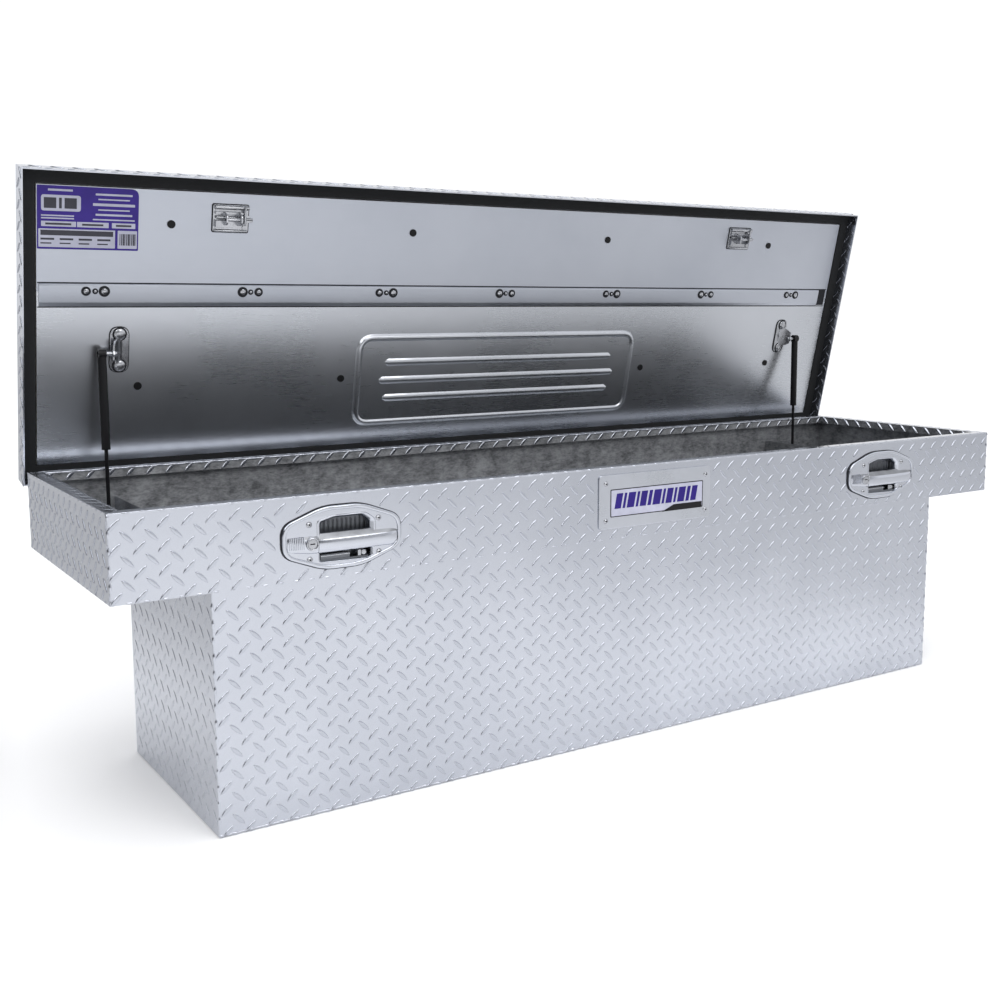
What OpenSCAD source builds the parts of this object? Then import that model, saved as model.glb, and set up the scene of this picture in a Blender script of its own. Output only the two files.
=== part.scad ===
// Crossover truck tool box: one lid on a rear piano hinge, two gas struts,
// two paddle latches in the front. All dimensions are in millimetres.
// X runs along the truck's width, -Y is the front, Z is up.
// The origin is on the ground plane, midway along the box and midway between its front and rear bands.

/* [Box] */
// Overall width of the tub rim
box_w = 1778; // [1600:1:1900]
// Depth of the tub from its front to its rear band
box_d = 460; // [440:1:520]
// Height of the rim above the floor
box_h = 463; // [450:1:500]
// Height of the upper band that overhangs the bed rails
band_h = 120; // [115:1:130]
// Distance from the left end of the rim to the left tub wall
left_inset = 132; // [125:1:150]
// Distance from the right end of the rim to the right tub wall
right_inset = 176; // [125:1:200]
// Distance from the rear band to the rear tub wall
rear_inset = 70; // [40:1:80]
// Thickness of the sheet metal
sheet = 2; // [1.5:0.1:2.5]
// Height of the end walls above the saddle floors
upstand_h = 71; // [20:1:75]

/* [Rim] */
// Width of the rim flange at the front and the ends
rim_w = 20; // [16:1:24]
// Width of the rim flange at the rear
rim_rear_w = 18; // [14:1:18]
// Depth of the rim's turned-down lip
rim_lip = 13; // [8:1:14]

/* [Lid] */
// Angle of the lid above its closed position
lid_open = 77.6; // [60:0.1:80]
// Length of the lid from its hinge axis to its front edge
lid_len = 497; // [490:1:500]
// Overhang of the lid past each end of the tub
lid_side = 4; // [3:0.5:6]
// Depth of the lid's skirt
skirt_h = 38; // [36:0.5:42]
// Depth of the recess from the skirt's edge to the liner
recess = 26; // [25.5:0.5:28]
// Distance from the rear band back to the hinge axis
hinge_back = 13.5; // [12:0.5:16]
// Distance from the rim's top down to the hinge axis
hinge_drop = 24.6; // [24.6:0.1:25]
// Width of the foam seal
seal_w = 22; // [18:1:24]

/* [Handles] */
// Distance of each paddle handle from the middle of the box
handle_x = 565; // [450:1:600]
// Height of the handle's centre
handle_z = 401; // [398:1:404]
// Width of the handle bezel
bezel_w = 183; // [170:1:190]
// Height of the handle bezel
bezel_h = 90; // [86:1:94]
// Depth of the finger cup
cup_deep = 18; // [14:1:18]
// Diameter of the lock cylinder
lock_dia = 17; // [15:1:17]

/* [Struts] */
// Distance of each gas strut from the middle of the box
strut_x = 773; // [770:1:776]
// Diameter of the strut's cylinder
strut_dia = 14; // [12:1:15]
// Diameter of the strut's rod
rod_dia = 6; // [5:1:7]
// Height of the lower strut pivot
strut_low_z = 370; // [368:1:374]
// Forward distance of the lower strut pivot from the rear band
strut_low_back = 26.5; // [24:0.5:30]

/* [Badge] */
// Width of the badge plate
badge_w = 239; // [200:1:260]
// Height of the badge plate
badge_h = 89; // [80:1:95]

/* [Hidden] */

// Colours
bright = [0.80, 0.82, 0.86];
dull = [0.62, 0.64, 0.68];
steel = [0.72, 0.73, 0.75];
black = [0.07, 0.07, 0.08];
foam = [0.85, 0.83, 0.76];
blue = [0.20, 0.22, 0.48];

// Faces of the tub
half_w = box_w / 2;
front_y = -box_d / 2;
rear_y = box_d / 2;
tub_rear_y = rear_y - rear_inset;
tub_left_x = -half_w + left_inset;
tub_right_x = half_w - right_inset;
band_z = box_h - band_h;
upstand_z = band_z + upstand_h;

// Hinge
hinge_y = rear_y + hinge_back;
hinge_z = box_h - hinge_drop;
knuckle_r = 3.5;
hinge_pin_r = 1.5;
hinge_bore_r = 1.58;
knuckle_count = 29;
knuckle_pitch = 60;
knuckle_gap = 0.6;
leaf_t = 1.5;
hinge_len = knuckle_count * knuckle_pitch;

// Lid, in its closed position with the hinge axis as origin
lid_half = half_w + lid_side;
liner_half = lid_half - sheet - seal_w - 2;
liner_rear = 26;
liner_front = 471;
liner_t = 1.5;
stiff_rear = 286;
stiff_front = 321;
stiff_proud = 3;
rivet_pitch = 255;
rivet_shift = -15;
seal_gap = 0.4;
plug_r = 6.5;

// Latches
striker_t = 431;
striker_n = -14.4;
bar_r = 4;
ear_x = 15;
hook_y = hinge_y - striker_t - 7.5;
hook_z = hinge_z + striker_n - 32;
hook_open = 14;
cup_back_y = front_y + cup_deep;

// Handle window, measured from the handle's centre
win_left = -36;
win_right = 48;
win_low = -32;
win_high = 29;
bar_low = -20;
bar_high = 7;
bar_right = 82;
bezel_t = 3;
pivot_y = front_y + 4;
pivot_z = bar_low - 4;
lock_x = -48;
lock_z = -6;

// Centre of the badge
badge_x = 7;
badge_z = 406;

// Struts
stud_t = 212;
stud_n = 8;
stud_r = 4;
cyl_len = 153;
rod_len = 165;
strut_low_y = rear_y - strut_low_back;
stud_y = hinge_y - stud_t * cos(lid_open) + stud_n * sin(lid_open);
stud_z = hinge_z + stud_t * sin(lid_open) + stud_n * cos(lid_open);
strut_len = norm([stud_y - strut_low_y, stud_z - strut_low_z]);
strut_tilt = atan2(stud_y - strut_low_y, stud_z - strut_low_z);

// ---------------------------------------------------------------- helpers

// A box between two corners
module block(low, high) {
    translate(low) cube(high - low);
}

// A cylinder along X from x0 to x1
module rod_x(x0, x1, r, y = 0, z = 0) {
    translate([x0, y, z]) rotate([0, 90, 0]) cylinder(h = x1 - x0, r = r, $fn = 48);
}

// A cylinder along Y from y0 to y1
module rod_y(y0, y1, r, x = 0, z = 0) {
    translate([x, y0, z]) rotate([-90, 0, 0]) cylinder(h = y1 - y0, r = r, $fn = 48);
}

// Puts a lid part, drawn closed about the hinge axis, at the open angle
module lid_pose() {
    translate([0, hinge_y, hinge_z]) rotate([-lid_open, 0, 0]) children();
}

// A lid plate: x from x0 to x1, t is the distance from the hinge, n the depth above the skirt's edge
module lid_block(x0, x1, t0, t1, n0, n1) {
    block([x0, -t1, n0], [x1, -t0, n1]);
}

// A pan-head screw facing -Y
module screw_front(x, y, z, r) {
    rod_y(y - 1.6, y, r, x, z);
    rod_y(y - 2.2, y - 1.6, r * 0.7, x, z);
}

// Puts a handle part, drawn about the handle's centre, at the left or the right handle
module at_handle(side) {
    translate([side * handle_x, 0, handle_z]) children();
}

// Outline of the handle bezel: a long octagon
module bezel_outline() {
    hw = bezel_w / 2;
    hh = bezel_h / 2;
    polygon([
        [-hw, -19], [-hw + 3, -24], [-30, -hh], [30, -hh], [hw - 3, -24], [hw, -19],
        [hw, 19], [hw - 3, 24], [30, hh], [-30, hh], [-hw + 3, 24], [-hw, 19]
    ]);
}

// Outline of the finger window, with a low arch along its top
module window_outline(grow) {
    mid = (win_left + win_right) / 2;
    translate([win_left - grow, win_low - grow])
        square([win_right - win_left + 2 * grow, win_high - 6 - win_low + grow]);
    intersection() {
        translate([mid, win_high - 6 - 150 + 6]) circle(r = 150 + grow, $fn = 96);
        translate([win_left - grow, 0]) square([win_right - win_left + 2 * grow, win_high + grow]);
    }
}

// Extrudes an XZ outline along Y from y0 to y1
module front_extrude(y0, y1) {
    translate([0, y1, 0]) rotate([90, 0, 0]) linear_extrude(height = y1 - y0) children();
}

// Extrudes a YZ outline along X from x0 to x1
module side_extrude(x0, x1) {
    translate([x0, 0, 0]) rotate([90, 0, 90]) linear_extrude(height = x1 - x0) children();
}

// ---------------------------------------------------------------- tub

module tub_floor() {
    color(dull) block([tub_left_x, front_y, 0], [tub_right_x, tub_rear_y, sheet]);
}

module tub_front_wall() {
    color(bright) block([tub_left_x, front_y, sheet], [tub_right_x, front_y + sheet, band_z]);
}

module tub_rear_wall() {
    color(bright) block([tub_left_x, tub_rear_y - sheet, sheet], [tub_right_x, tub_rear_y, band_z]);
}

// The end walls stand up past the saddle floors and close the overhanging wings off inside
module tub_end_wall(x) {
    color(bright) {
        block([x, front_y + sheet, sheet], [x + sheet, tub_rear_y - sheet, upstand_z]);
        block([x, tub_rear_y - sheet, band_z + sheet], [x + sheet, rear_y - sheet, upstand_z]);
    }
}

module tub_left_wall() {
    tub_end_wall(tub_left_x);
}

module tub_right_wall() {
    tub_end_wall(tub_right_x - sheet);
}

module saddle_floor_left() {
    color(dull)
        block([-half_w + sheet, front_y + sheet, band_z], [tub_left_x, rear_y - sheet, band_z + sheet]);
}

module saddle_floor_right() {
    color(dull)
        block([tub_right_x, front_y + sheet, band_z], [half_w - sheet, rear_y - sheet, band_z + sheet]);
}

module rear_ledge() {
    color(dull)
        block([tub_left_x, tub_rear_y - sheet, band_z], [tub_right_x, rear_y - sheet, band_z + sheet]);
}

// Front band with an opening and a lock hole at each handle
module front_band() {
    color(bright) difference() {
        block([-half_w, front_y, band_z], [half_w, front_y + sheet, box_h - sheet]);
        for (side = [-1, 1]) at_handle(side) {
            block([win_left - 2.3, front_y - 1, win_low - 2.3],
                  [win_right + 2.3, front_y + 5, win_high + 2.3]);
            rod_y(front_y - 1, front_y + 5, lock_dia / 2 + 0.3, lock_x, lock_z);
        }
    }
}

module rear_band() {
    color(bright) block([-half_w, rear_y - sheet, band_z], [half_w, rear_y, box_h - sheet]);
}

module end_plate_left() {
    color(bright)
        block([-half_w, front_y + sheet, band_z], [-half_w + sheet, rear_y - sheet, box_h - sheet]);
}

module end_plate_right() {
    color(bright)
        block([half_w - sheet, front_y + sheet, band_z], [half_w, rear_y - sheet, box_h - sheet]);
}

// The rim is an angle: a flat flange under the lid's seal and a lip turned down inside it
module rim_front() {
    color(bright) {
        block([-half_w, front_y, box_h - sheet], [half_w, front_y + rim_w, box_h]);
        block([-half_w + rim_w, front_y + rim_w - sheet, box_h - sheet - rim_lip],
              [half_w - rim_w, front_y + rim_w, box_h - sheet]);
    }
}

module rim_rear() {
    color(bright) {
        block([-half_w, rear_y - rim_rear_w, box_h - sheet], [half_w, rear_y, box_h]);
        block([-half_w + rim_w, rear_y - rim_rear_w, box_h - sheet - rim_lip],
              [half_w - rim_w, rear_y - rim_rear_w + sheet, box_h - sheet]);
    }
}

module rim_end(side) {
    outer = side * half_w;
    inner = side * (half_w - rim_w);
    lip = side * (half_w - rim_w + sheet);
    y0 = front_y + rim_w;
    y1 = rear_y - rim_rear_w;
    color(bright) {
        block([min(outer, inner), y0, box_h - sheet], [max(outer, inner), y1, box_h]);
        block([min(lip, inner), y0, box_h - sheet - rim_lip], [max(lip, inner), y1, box_h - sheet]);
    }
}

module rim_left() {
    rim_end(-1);
}

module rim_right() {
    rim_end(1);
}

// ---------------------------------------------------------------- hinge

// Knuckles of one leaf: every second one, with the pin's bore left for the leaf to cut
module knuckles(first, r) {
    for (i = [first : 2 : knuckle_count - 1]) {
        x0 = -hinge_len / 2 + i * knuckle_pitch + knuckle_gap / 2;
        rod_x(x0, x0 + knuckle_pitch - knuckle_gap, r);
    }
}

// Tub leaf: riveted to the rear band, stepped out to the axis
module hinge_leaf_tub() {
    low = -28;
    color(dull) translate([0, hinge_y, hinge_z]) difference() {
        union() {
            knuckles(0, knuckle_r);
            for (i = [0 : 2 : knuckle_count - 1]) {
                x0 = -hinge_len / 2 + i * knuckle_pitch + knuckle_gap / 2;
                block([x0, -knuckle_r, low], [x0 + knuckle_pitch - knuckle_gap, -knuckle_r + leaf_t, 0]);
            }
            block([-hinge_len / 2, -knuckle_r, low], [hinge_len / 2, -knuckle_r + leaf_t, low + 18]);
            block([-hinge_len / 2, -hinge_back, low], [hinge_len / 2, -knuckle_r, low + leaf_t]);
            block([-hinge_len / 2, -hinge_back, low - 22], [hinge_len / 2, -hinge_back + leaf_t, low]);
        }
        rod_x(-hinge_len / 2 - 1, hinge_len / 2 + 1, hinge_bore_r);
    }
}

// Lid leaf: riveted inside the lid's rear skirt
module hinge_leaf_lid() {
    color(dull) lid_pose() difference() {
        union() {
            knuckles(1, knuckle_r);
            for (i = [1 : 2 : knuckle_count - 2]) {
                x0 = -hinge_len / 2 + i * knuckle_pitch + knuckle_gap / 2;
                lid_block(x0, x0 + knuckle_pitch - knuckle_gap, sheet, sheet + leaf_t, 0, 6);
            }
            lid_block(-hinge_len / 2, hinge_len / 2, sheet, sheet + leaf_t, 5, 24);
        }
        rod_x(-hinge_len / 2 - 1, hinge_len / 2 + 1, hinge_bore_r);
    }
}

module hinge_pin() {
    color(steel) rod_x(-hinge_len / 2, hinge_len / 2, hinge_pin_r, hinge_y, hinge_z);
}

module hinge_rivets_tub() {
    color(steel) for (i = [0 : 13]) {
        x = (i - 6.5) * 128;
        rod_y(rear_y + leaf_t, rear_y + leaf_t + 1.8, 4, x, hinge_z - 39);
    }
}

module hinge_rivets_lid() {
    color(steel) lid_pose() for (i = [0 : 13]) {
        x = (i - 6.5) * 128;
        rod_y(-sheet - leaf_t - 1.6, -sheet - leaf_t, 3.5, x, 15);
    }
}

// ---------------------------------------------------------------- handles and latches

module handle_bezel(side) {
    color(bright) at_handle(side) difference() {
        union() {
            front_extrude(front_y - bezel_t, front_y) bezel_outline();
            block([-bar_right, front_y - bezel_t - 2.5, bar_low],
                  [win_left - 2, front_y - bezel_t, bar_high]);
        }
        front_extrude(front_y - 12, front_y + 1) window_outline(0);
        rod_y(front_y - 12, front_y + 1, lock_dia / 2 + 0.3, lock_x, lock_z);
    }
}

module handle_bezel_left() {
    handle_bezel(-1);
}

module handle_bezel_right() {
    handle_bezel(1);
}

// Finger cup behind the bezel, with a bore in each side wall for the paddle's pin
module handle_cup(side) {
    color(dull) at_handle(side) difference() {
        block([win_left - 2, front_y, win_low - 2], [win_right + 2, cup_back_y, win_high + 2]);
        block([win_left, front_y - 1, win_low], [win_right, cup_back_y - 2, win_high]);
        rod_x(win_left - 3, win_right + 3, 1.58, pivot_y, pivot_z);
    }
}

module handle_cup_left() {
    handle_cup(-1);
}

module handle_cup_right() {
    handle_cup(1);
}

// Paddle: a pull bar across the window and the bezel's right side, on two arms and a pivot pin
module paddle(side) {
    bar_back = front_y - bezel_t - 0.4;
    bar_front = bar_back - 3;
    color(bright) at_handle(side) {
        block([win_left + 1, bar_front, bar_low], [bar_right, bar_back, bar_high]);
        for (x = [win_left + 4, win_right - 8])
            block([x, bar_back, pivot_z - 3], [x + 4, pivot_y + 3, bar_low + 8]);
        rod_x(win_left - 1.8, win_right + 1.8, 1.5, pivot_y, pivot_z);
    }
}

module paddle_left() {
    paddle(-1);
}

module paddle_right() {
    paddle(1);
}

// Lock cylinder with its cam behind the front band
module lock(side) {
    color(steel) at_handle(side) {
        difference() {
            rod_y(front_y - bezel_t - 4, cup_back_y + 10, lock_dia / 2, lock_x, lock_z);
            block([lock_x - 0.8, front_y - bezel_t - 5, lock_z - 4],
                  [lock_x + 0.8, front_y - bezel_t - 1, lock_z + 4]);
        }
        block([lock_x - 6, cup_back_y + 6, lock_z - 34], [lock_x + 6, cup_back_y + 9, lock_z - 4]);
    }
}

module lock_left() {
    lock(-1);
}

module lock_right() {
    lock(1);
}

module handle_screws() {
    color(steel) for (side = [-1, 1]) for (x = [-51, 56]) for (z = [-28.5, 21])
        translate([side * handle_x, 0, handle_z]) screw_front(x, front_y - bezel_t, z, 4);
}

// Latch housing: a back plate on the cup, two cheeks and the hook's pin
module latch_housing(side) {
    low = hook_z - 16;
    high = hook_z + 24;
    color(steel) translate([side * handle_x, 0, 0]) {
        block([-20, cup_back_y, low], [20, cup_back_y + 2, high]);
        for (x = [-8, 5]) block([x, cup_back_y + 2, low], [x + 3, hook_y + 14, high]);
        rod_x(-8, 8, 2.5, hook_y, hook_z);
    }
}

module latch_housing_left() {
    latch_housing(-1);
}

module latch_housing_right() {
    latch_housing(1);
}

// Hook outline about its pin, drawn engaged over the striker bar
module hook_outline() {
    polygon([[-5, -7], [6, -7], [6, 7], [2.5, 13], [2.5, 37.5], [11, 37.5], [8, 43], [-2, 43], [-5, 40]]);
}

// Hook at rest: swung clear of the striker
module latch_hook(side) {
    color(steel) translate([side * handle_x, hook_y, hook_z]) rotate([hook_open, 0, 0]) difference() {
        side_extrude(-2, 2) hook_outline();
        rod_x(-3, 3, 2.58);
    }
}

module latch_hook_left() {
    latch_hook(-1);
}

module latch_hook_right() {
    latch_hook(1);
}

// ---------------------------------------------------------------- badge

module badge_plate() {
    color(steel)
        block([badge_x - badge_w / 2, front_y - 2, badge_z - badge_h / 2],
              [badge_x + badge_w / 2, front_y, badge_z + badge_h / 2]);
}

module badge_panel() {
    color(blue)
        block([badge_x - 96, front_y - 2.8, badge_z - 25], [badge_x + 102, front_y - 2, badge_z + 20]);
}

module badge_screws() {
    color(steel) for (x = [-106, 108]) for (z = [-30.5, 30.5])
        screw_front(badge_x + x, front_y - 2, badge_z + z, 4);
}

// ---------------------------------------------------------------- lid

// Shell: the outer skin with four skirts
module lid_shell() {
    color(bright) lid_pose() {
        lid_block(-lid_half, lid_half, 0, lid_len, skirt_h - sheet, skirt_h);
        lid_block(-lid_half, lid_half, lid_len - sheet, lid_len, 0, skirt_h - sheet);
        lid_block(-lid_half, lid_half, 0, sheet, 5, skirt_h - sheet);
        for (side = [-1, 1]) {
            x = side * (lid_half - sheet / 2);
            lid_block(x - sheet / 2, x + sheet / 2, sheet, lid_len - sheet, 0, skirt_h - sheet);
        }
    }
}

module lid_core() {
    color(foam) lid_pose()
        lid_block(-liner_half, liner_half, liner_rear, liner_front, recess + liner_t, skirt_h - sheet);
}

// Raised generic panel on the lower liner
module liner_emboss() {
    intersection() {
        lid_block(-310, 310, 70, 220, recess - 2, recess);
        translate([0, -145, recess - 3]) linear_extrude(height = 6) offset(r = 22, $fn = 32)
            square([576, 106], center = true);
    }
}

module lid_liner_lower() {
    color(dull) lid_pose() {
        lid_block(-liner_half, liner_half, liner_rear, 308, recess, recess + liner_t);
        liner_emboss();
    }
}

module lid_liner_upper() {
    color(dull) lid_pose()
        lid_block(-liner_half, liner_half, 308, liner_front, recess, recess + liner_t);
}

// Stiffener strip over the joint of the two liners
module lid_stiffener() {
    color(dull) lid_pose() {
        x0 = -liner_half + 1;
        x1 = liner_half - 29;
        lid_block(x0, x1, stiff_rear, stiff_front, recess - stiff_proud, recess - 1.2);
        for (t = [stiff_rear, stiff_front - 3]) lid_block(x0, x1, t, t + 3, recess - 1.2, recess);
    }
}

// Rivet clusters: a small rivet between two ringed ones
module lid_rivets() {
    mid = (stiff_rear + stiff_front) / 2 + 6;
    color(steel) lid_pose() for (i = [-3 : 3]) {
        x = i * rivet_pitch + rivet_shift;
        for (dx = [-13, 13]) translate([x + dx, -mid, recess - stiff_proud - 2])
            cylinder(h = 2, r = 6, $fn = 32);
        translate([x, -mid, recess - stiff_proud - 1.5]) cylinder(h = 1.5, r = 3.5, $fn = 32);
    }
}

module lid_plugs() {
    color(black) lid_pose() {
        for (x = [-662, -225, 214, 656])
            translate([x, -418, recess - 1.6]) cylinder(h = 1.6, r = plug_r, $fn = 32);
        for (x = [-710, -346, 346, 710])
            translate([x, -152, recess - 1.6]) cylinder(h = 1.6, r = plug_r, $fn = 32);
    }
}

// Foam seal all round the lid, just clear of the rim when the lid is shut
module lid_seal() {
    low = hinge_drop + seal_gap;
    high = skirt_h - sheet;
    edge = lid_half - sheet;
    color(black) lid_pose() {
        for (side = [-1, 1]) {
            x = side * (edge - seal_w / 2);
            lid_block(x - seal_w / 2, x + seal_w / 2, 4.5, lid_len - sheet, low, high);
        }
        lid_block(-edge + seal_w, edge - seal_w, 4.5, 4.5 + seal_w - 1, low, high);
        lid_block(-edge + seal_w, edge - seal_w, lid_len - sheet - seal_w, lid_len - sheet, low, high);
    }
}

module lid_label() {
    color(blue) lid_pose() lid_block(-866, -714, 374, 470, recess - 0.4, recess);
}

// Striker: a plate, two ears and the round bar that the hook takes
module striker(side) {
    color(steel) lid_pose() translate([side * handle_x, 0, 0]) {
        lid_block(-30, 30, striker_t - 22, striker_t + 22, recess - 2, recess);
        for (x = [-ear_x - 3, ear_x])
            lid_block(x, x + 3, striker_t - 12, striker_t + 12, striker_n - 6, recess - 2);
        rod_x(-ear_x, ear_x, bar_r, -striker_t, striker_n);
    }
}

module striker_left() {
    striker(-1);
}

module striker_right() {
    striker(1);
}

// Upper strut mount on the lid: a foot, an ear and the stud that the cylinder turns on
module strut_mount(side) {
    x_ear = strut_x - 17;
    color(steel) lid_pose() mirror([side < 0 ? 1 : 0, 0, 0]) {
        lid_block(x_ear - 30, x_ear, 178, 250, recess - 2, recess);
        lid_block(x_ear - 2.5, x_ear, stud_t - 14, stud_t + 14, stud_n - 8, recess - 2);
        rod_x(x_ear, strut_x + 5, stud_r, -stud_t, stud_n);
    }
}

module strut_mount_left() {
    strut_mount(-1);
}

module strut_mount_right() {
    strut_mount(1);
}

// Screw heads of the strikers and the strut mounts
module lid_screws() {
    color(steel) lid_pose() {
        for (side = [-1, 1]) for (dx = [-23, 23]) for (dt = [-14, 14])
            translate([side * handle_x + dx, -striker_t - dt, recess - 4]) cylinder(h = 2, r = 3.5, $fn = 32);
        for (side = [-1, 1]) for (t = [186, 242])
            translate([side * (strut_x - 34), -t, recess - 4]) cylinder(h = 2, r = 3.5, $fn = 32);
    }
}

// ---------------------------------------------------------------- struts

// Puts a strut part, drawn hanging down from the upper stud, in its open position
module strut_pose(side) {
    translate([side * strut_x, stud_y, stud_z]) rotate([-strut_tilt, 0, 0]) children();
}

module strut_cylinder(side) {
    color(black) strut_pose(side) difference() {
        union() {
            translate([0, 0, -cyl_len]) cylinder(h = cyl_len - 4, r = strut_dia / 2, $fn = 48);
            rod_x(-6, 6, 8);
        }
        rod_x(-7, 7, stud_r + 0.08);
        translate([0, 0, -cyl_len - 1]) cylinder(h = 142, r = rod_dia / 2 + 0.08, $fn = 48);
    }
}

module strut_cylinder_left() {
    strut_cylinder(-1);
}

module strut_cylinder_right() {
    strut_cylinder(1);
}

// Rod with its lower socket and stud, which turn beside the foot's plate
module strut_rod(side) {
    out = side > 0 ? 1 : -1;
    color(steel) strut_pose(side) {
        translate([0, 0, -strut_len]) cylinder(h = rod_len, r = rod_dia / 2, $fn = 48);
        rod_x(-5, 5, 6, 0, -strut_len);
        rod_x(min(5 * out, 7.7 * out), max(5 * out, 7.7 * out), 3, 0, -strut_len);
    }
}

module strut_rod_left() {
    strut_rod(-1);
}

module strut_rod_right() {
    strut_rod(1);
}

// Foot of the strut on the saddle floor
module strut_foot(side) {
    x_plate = strut_x + 8;
    floor_z = band_z + sheet;
    color(steel) mirror([side < 0 ? 1 : 0, 0, 0]) {
        block([x_plate, strut_low_y - 16, floor_z], [x_plate + 2.5, strut_low_y + 16, strut_low_z + 14]);
        block([x_plate + 2.5, strut_low_y - 16, floor_z], [x_plate + 26, strut_low_y + 16, floor_z + 2.5]);
    }
}

module strut_foot_left() {
    strut_foot(-1);
}

module strut_foot_right() {
    strut_foot(1);
}

// ---------------------------------------------------------------- drawing

tub_floor();
tub_front_wall();
tub_rear_wall();
tub_left_wall();
tub_right_wall();
saddle_floor_left();
saddle_floor_right();
rear_ledge();
front_band();
rear_band();
end_plate_left();
end_plate_right();
rim_front();
rim_rear();
rim_left();
rim_right();
hinge_leaf_tub();
hinge_pin();
hinge_rivets_tub();
handle_bezel_left();
handle_bezel_right();
handle_cup_left();
handle_cup_right();
handle_screws();
latch_housing_left();
latch_housing_right();
strut_foot_left();
strut_foot_right();
badge_plate();
badge_panel();
badge_screws();
lid_shell();
lid_core();
lid_liner_lower();
lid_liner_upper();
lid_stiffener();
lid_rivets();
lid_plugs();
lid_seal();
lid_label();
hinge_leaf_lid();
hinge_rivets_lid();
striker_left();
striker_right();
lid_screws();
strut_mount_left();
strut_mount_right();
strut_cylinder_left();
strut_cylinder_right();
strut_rod_left();
strut_rod_right();
paddle_left();
paddle_right();
lock_left();
lock_right();
latch_hook_left();
latch_hook_right();
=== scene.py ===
"""A crossover truck tool box in bright tread plate, lid open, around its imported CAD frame.

All lengths are in metres, in the frame of the CAD model: X runs along the box, -Y is the front,
Z is up. Lid pieces are made closed about the hinge axis and turned to the open angle.
"""
import math

import bmesh
import bpy
from mathutils import Euler, Matrix, Vector


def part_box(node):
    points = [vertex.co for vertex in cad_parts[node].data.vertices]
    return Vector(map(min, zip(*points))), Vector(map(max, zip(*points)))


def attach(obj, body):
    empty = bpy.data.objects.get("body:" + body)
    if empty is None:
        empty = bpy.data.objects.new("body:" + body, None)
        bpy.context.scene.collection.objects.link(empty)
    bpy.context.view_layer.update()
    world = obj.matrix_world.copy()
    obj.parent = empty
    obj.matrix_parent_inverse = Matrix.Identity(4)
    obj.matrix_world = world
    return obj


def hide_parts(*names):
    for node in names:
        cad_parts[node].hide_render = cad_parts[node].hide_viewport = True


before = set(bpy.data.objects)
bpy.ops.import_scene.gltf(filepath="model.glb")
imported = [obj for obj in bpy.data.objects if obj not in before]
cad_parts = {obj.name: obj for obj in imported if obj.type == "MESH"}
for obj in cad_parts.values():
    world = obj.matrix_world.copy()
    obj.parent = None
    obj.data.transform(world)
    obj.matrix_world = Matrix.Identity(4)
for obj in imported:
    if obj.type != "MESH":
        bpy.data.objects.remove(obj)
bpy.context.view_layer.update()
MM = 0.001

# ---------------------------------------------------------------- the frame's own places

RIM_LOW, RIM_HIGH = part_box("rim_front")
TUB_LOW, TUB_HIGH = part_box("tub_front_wall")
PIN_LOW, PIN_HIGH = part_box("hinge_pin")

HALF_W = RIM_HIGH.x
FRONT_Y = RIM_LOW.y
REAR_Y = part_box("rim_rear")[1].y
TOP_Z = RIM_HIGH.z
BAND_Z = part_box("front_band")[0].z
TUB_LEFT = TUB_LOW.x
TUB_RIGHT = TUB_HIGH.x
TUB_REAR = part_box("tub_rear_wall")[1].y
SHEET = 2 * MM

HINGE = Vector((0, (PIN_LOW.y + PIN_HIGH.y) / 2, (PIN_LOW.z + PIN_HIGH.z) / 2))
LID_OPEN = math.radians(77.6)
LID_LEN = 497 * MM
SKIRT_H = 38 * MM
LID_HALF = HALF_W + 4 * MM
RECESS = 26 * MM
LINER_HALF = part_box("lid_liner_upper")[1].x

BEZEL_LOW, BEZEL_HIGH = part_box("handle_bezel_left")
HANDLE_X = -(BEZEL_LOW.x + BEZEL_HIGH.x) / 2
HANDLE_Z = (BEZEL_LOW.z + BEZEL_HIGH.z) / 2

# Turns a point of the closed lid, measured from the hinge axis, to its open place
LID_POSE = Matrix.Translation(HINGE) @ Matrix.Rotation(-LID_OPEN, 4, "X")


def lid_point(x, t, n):
    """World place of a lid point: t from the hinge towards the front edge, n above the skirt's edge."""
    return LID_POSE @ Vector((x, -t, n))


# ---------------------------------------------------------------- node helpers


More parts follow.
